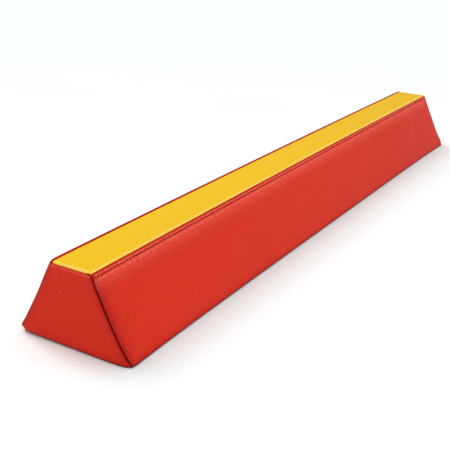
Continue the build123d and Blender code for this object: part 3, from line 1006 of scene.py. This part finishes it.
THREAD, TOPSTITCH_THREAD = 0.5 * MM, 0.75 * MM  # radii
SEAM_PITCH, ZIP_PITCH = 5 * MM, 4.2 * MM
BASE_BURIED = 2.0 * MM  # how far inside its crease the base seam's thread lies
END_OUT = 0.8 * MM  # and how far an end seam's lies from the panel's inner edge


def stitch_row(line, out, pitch, length=0.86, dive=0.3 * MM, lift=0.0, sides=5, by_x=False, radius=THREAD):
    """Separate stitches along a line of points, each arched, with its ends diving into the panel. by_x
    spaces them along X, in step with the dimples of the panel."""
    run = np.concatenate([[0], np.cumsum(np.linalg.norm(np.diff(line, axis=0), axis=1))])
    count = int(run[-1] / pitch)
    first = (run[-1] - (count - 1) * pitch) / 2
    if by_x:
        run = line[:, 0]
        first = math.ceil((run[0] + pitch / 2) / pitch) * pitch
        count = int((run[-1] - pitch / 2 - first) / pitch) + 1
    parts = []
    t = np.linspace(-1, 1, 9)
    for i in range(count):
        s = first + i * pitch + t * pitch * length / 2
        middle = np.stack([np.interp(s, run, line[:, k]) for k in range(3)], 1)
        way = np.stack([np.interp(s, run, out[:, k]) for k in range(3)], 1)
        rise = lift - dive * np.abs(t) ** 5
        parts.append(tube(middle + way * rise[:, None], radius, sides, way[4], 1 - 0.35 * np.abs(t) ** 6))
    return gather(parts)


for name, section, grid, push, stitched_at in (
    ("front", front_side, front_grid, front_push, TOPSTITCH),
    ("rear", rear_side, rear_grid, rear_push, REAR_STITCH),
):
    row = row_at(section, stitched_at)
    inside = np.abs(grid[row, :, 0]) < half_length - 7 * MM
    points, faces = stitch_row(
        grid[row][inside], push[row][inside], STITCH_PITCH, length=0.58, dive=0.9 * MM, lift=0.35 * MM,
        sides=6, by_x=True, radius=TOPSTITCH_THREAD,
    )
    build(f"{name}_topstitches", points, faces, top_thread, f"{name}_topstitch_thread")
    # the two long seams of this side, sewn through both plies just inside the crease
    for seam, row, buried in (("top", 0, 0.0), ("base", len(grid) - 1, BASE_BURIED)):
        inside = np.abs(grid[row, :, 0]) < half_length - 12 * MM
        line = grid[row][inside] + push[row][inside] * (DEPTH - buried)
        points, faces = stitch_row(line, push[row][inside], SEAM_PITCH, length=0.94)
        seam_name = f"{name}_{seam}_seam"
        build(f"{seam_name}_stitches", points, faces, seam_thread, f"{seam_name}_thread")
for name, grid, sign in (("left", left_grid, -1), ("right", right_grid, 1)):
    line = grid[0] + [sign * END_OUT, 0, 0]
    line = np.vstack([line, line[:1]])
    out = np.tile([float(sign), 0, 0], (len(line), 1))
    points, faces = stitch_row(line, out, SEAM_PITCH)
    build(f"{name}_end_seam_stitches", points, faces, seam_thread, f"{name}_end_seam_thread")


# ---- foam


def foam_block(name, shape, reach, finish, node, edge):
    """A block of foam cut to a section, with its cut edges eased."""
    work = bmesh.new()
    first = [work.verts.new((-reach, y, z)) for y, z in shape]
    face = work.faces.new(first)
    made = bmesh.ops.extrude_face_region(work, geom=[face])
    moved = [v for v in made["geom"] if isinstance(v, bmesh.types.BMVert)]
    bmesh.ops.translate(work, vec=(2 * reach, 0, 0), verts=moved)
    bmesh.ops.recalc_face_normals(work, faces=work.faces)
    mesh = bpy.data.meshes.new(name)
    work.to_mesh(mesh)
    work.free()
    piece = bpy.data.objects.new(name, mesh)
    bpy.context.scene.collection.objects.link(piece)
    ease = piece.modifiers.new("ease", "BEVEL")
    ease.width, ease.segments, ease.limit_method, ease.angle_limit = edge, 5, "ANGLE", math.radians(20)
    shaped = bpy.data.meshes.new_from_object(piece.evaluated_get(bpy.context.evaluated_depsgraph_get()))
    piece.modifiers.clear()
    piece.data = shaped
    shaped.shade_smooth()
    shaped.materials.clear()
    on_beam(piece, finish, node)


CLEARANCE = 4.0 * MM
foam_reach = half_length - 6 * MM
core_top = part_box("foam_deck")[0].z
CORE_FLOOR = 3.2 * MM
CHANNEL_FOOT, CHANNEL_ROOF, CHANNEL_HEIGHT = 27 * MM, 13 * MM, 11 * MM  # it leaves room for the zip


def half_width(z, inset):
    return half_base - flare * z - inset * slope


core_high = core_top - 0.2 * MM
right_half = [
    (CHANNEL_ROOF, CORE_FLOOR + CHANNEL_HEIGHT),
    (CHANNEL_FOOT, CORE_FLOOR),
    (half_width(CORE_FLOOR - 0.6 * MM, CLEARANCE), CORE_FLOOR),
    (half_width(core_high, CLEARANCE), core_high),
]
core_shape = [(-y, z) for y, z in right_half[::-1]] + right_half
foam_block("core_foam_block", core_shape, foam_reach, core_foam, "foam_core", 5 * MM)
deck_low, deck_high = core_top + 0.2 * MM, height - 3.0 * MM
low_half, high_half = half_width(deck_low, CLEARANCE), half_width(deck_high, CLEARANCE + 1 * MM)
deck_shape = [(-low_half, deck_low), (low_half, deck_low), (high_half, deck_high), (-high_half, deck_high)]
foam_block("deck_foam_slab", deck_shape, foam_reach, deck_foam, "foam_deck", 4 * MM)


# ---- zip

coil_low, coil_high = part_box("rear_zip_coil")
coil_middle = (coil_low.z + coil_high.z) / 2
sewn_low, sewn_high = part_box("rear_zip_stitching")
sewn = abs((sewn_low.y + sewn_high.y) / 2)
TAPE_THICK = 0.6 * MM
# The tape's section in mm, from the teeth down to the base panel, as distance from the middle and height
TAPE = [
    (1.6, 9.1), (3, 9.1), (5, 9.1), (7, 9.1), (9, 9.1), (10.2, 7.75), (11.4, 6.1), (12.6, 4.4),
    (13.8, 2.9), (15, 1.95), (17, 1.95), (19, 1.95), (21, 1.95), (23.5, 1.95), (26, 1.95),
]
TAPE_END = 4.5 * MM  # from the tapes' cut ends to the beam's
SAG_FROM, SAG_TO, SAG = 9 * MM, 15 * MM, 0.15 * MM  # the sloping part of the tape is slightly slack
TOOTH_PITCH, TOOTH_STEPS, WIRE = 2.6 * MM, 12, 0.36 * MM
TOOTH_MIDDLE, TOOTH_REACH, TOOTH_RISE = 1.75 * MM, 1.95 * MM, 1.08 * MM
PART_START, PART_END, PARTED = 0.927, 0.935, 1.7 * MM
SEWN_TOP, SEWN_BELOW, SEWN_END = 2.75 * MM, 0.28 * MM, 15 * MM


def parting(x):
    """How far each row of teeth is held off the middle, past the slider's wedge."""
    return PARTED * ramp(x, PART_START, PART_END - PART_START)


for name, sign in (("front", -1), ("rear", 1)):
    xs = np.linspace(-half_length + TAPE_END, half_length - TAPE_END, 420)
    ripple = undulation([0.09, 0.14, 0.2])
    across, high = np.array(TAPE).T[..., None] * MM
    grid = np.zeros((len(TAPE), len(xs), 3))
    grid[..., 0] = xs
    grid[..., 1] = sign * across
    grid[..., 2] = high + SAG * ripple(xs, 0 * xs)[None] * ((across > SAG_FROM) & (across < SAG_TO))
    push = np.zeros_like(grid)
    push[..., 2] = -1
    points, faces = skin(grid, push, TAPE_THICK, list(range(len(xs))))
    build(f"{name}_zip_tape_cloth", points, faces, tape_cloth, f"{name}_zip_tape")

    turns = int((coil_high.x - coil_low.x) / TOOTH_PITCH) - 1
    t = np.arange(turns * TOOTH_STEPS + 1) / TOOTH_STEPS
    x = coil_low.x + TOOTH_PITCH * (0.6 + t + (0.5 if sign > 0 else 0))
    angle = 2 * math.pi * t
    lean = 0.056 * TOOTH_PITCH * np.sin(angle)
    y = sign * (TOOTH_MIDDLE + TOOTH_REACH * np.cos(angle) + parting(x))
    z = coil_middle + TOOTH_RISE * np.sign(np.sin(angle)) * np.abs(np.sin(angle)) ** 0.7
    points, faces = tube(np.stack([x - lean, y, z], 1), WIRE, 5, (1, 0, 0))
    build(f"{name}_zip_coil_wire", points, faces, coil_plastic, f"{name}_zip_coil")

    xs = np.linspace(-half_length + SEWN_END, half_length - SEWN_END, 60)
    rows = []
    for z, way in ((SEWN_TOP, 1.0), (SEWN_BELOW, -1.0)):
        line = np.stack([xs, np.full(60, sign * sewn), np.full(60, z)], 1)
        rows.append(stitch_row(line, np.tile([0, 0, way], (60, 1)), ZIP_PITCH, dive=0.5 * MM))
    points, faces = gather(rows)
    build(f"{name}_zip_stitches", points, faces, seam_thread, f"{name}_zip_stitching")

for node in ("zip_slider", "zip_pull", "front_zip_top_stop", "rear_zip_top_stop", "zip_bottom_stop"):
    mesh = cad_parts[node].data
    mesh.materials.clear()
    mesh.materials.append(nickel)


# ---- floor, light and camera

FLOOR, FLOOR_DROP = 30, 0.4 * MM
floor_mesh = bpy.data.meshes.new("floor")
floor_corners = [(x * FLOOR, y * FLOOR, 0) for x, y in ((-1, -1), (1, -1), (1, 1), (-1, 1))]
floor_mesh.from_pydata(floor_corners, [], [(0, 1, 2, 3)])
floor = bpy.data.objects.new("floor", floor_mesh)
floor.location.z = -FLOOR_DROP
bpy.context.scene.collection.objects.link(floor)
pale = Finish("floor_finish", Roughness=0.85, Specular_Ior_Level=0.1)
patches = pale.fit(pale.noise(2, 2), 0, 1)
pale.set("Base Color", pale.blend(patches, (0.855, 0.905, 0.905), (0.845, 0.895, 0.895)))
floor_mesh.materials.append(pale.material)

scene = bpy.context.scene
scene.view_settings.view_transform = "Standard"
world = bpy.data.worlds.new("studio")
scene.world = world
world.use_nodes = True
background = world.node_tree.nodes["Background"]
background.inputs["Color"].default_value = (1.0, 0.99, 0.98, 1)
background.inputs["Strength"].default_value = 0.73


def softbox(name, place, target, size, power, colour=(1, 1, 1)):
    light = bpy.data.lights.new(name, "AREA")
    light.shape, light.size, light.size_y, light.energy, light.color = "RECTANGLE", *size, power, colour
    holder = bpy.data.objects.new(name, light)
    scene.collection.objects.link(holder)
    way = Vector(place) - Vector(target)
    holder.rotation_euler = way.to_track_quat("Z", "Y").to_euler()
    holder.location = place


sun = bpy.data.objects.new("high_rear", bpy.data.lights.new("high_rear", "SUN"))
sun.data.energy, sun.data.angle = 1.62, math.radians(36)
sun.rotation_euler = Vector((0.22, 0.90, 1.15)).to_track_quat("Z", "Y").to_euler()
scene.collection.objects.link(sun)
softbox("overhead", (-0.9, 0.1, 2.4), (-0.7, 0, 0), (1.6, 1.2), 5)
softbox("front_low", (-0.2, -3.0, 0.55), (-0.2, 0, 0.1), (2.4, 0.8), 17.5, (1.0, 0.98, 0.96))

VIEW_AZ, VIEW_EL, VIEW_ROLL = (math.radians(a) for a in (-59.944, 21.308, 2.073))
target, distance = Vector((-0.4068, 0, 0.0781)), 2.125
level = math.cos(VIEW_EL)
back = Vector((math.sin(VIEW_AZ) * level, -math.cos(VIEW_AZ) * level, math.sin(VIEW_EL)))
lens = bpy.data.cameras.new("camera")
lens.lens, lens.sensor_width = 66.45, 36
camera = bpy.data.objects.new("camera", lens)
scene.collection.objects.link(camera)
facing = back.to_track_quat("Z", "Y").to_matrix().to_4x4() @ Matrix.Rotation(VIEW_ROLL, 4, "Z")
camera.matrix_world = Matrix.Translation(target + back * distance) @ facing
scene.camera = camera
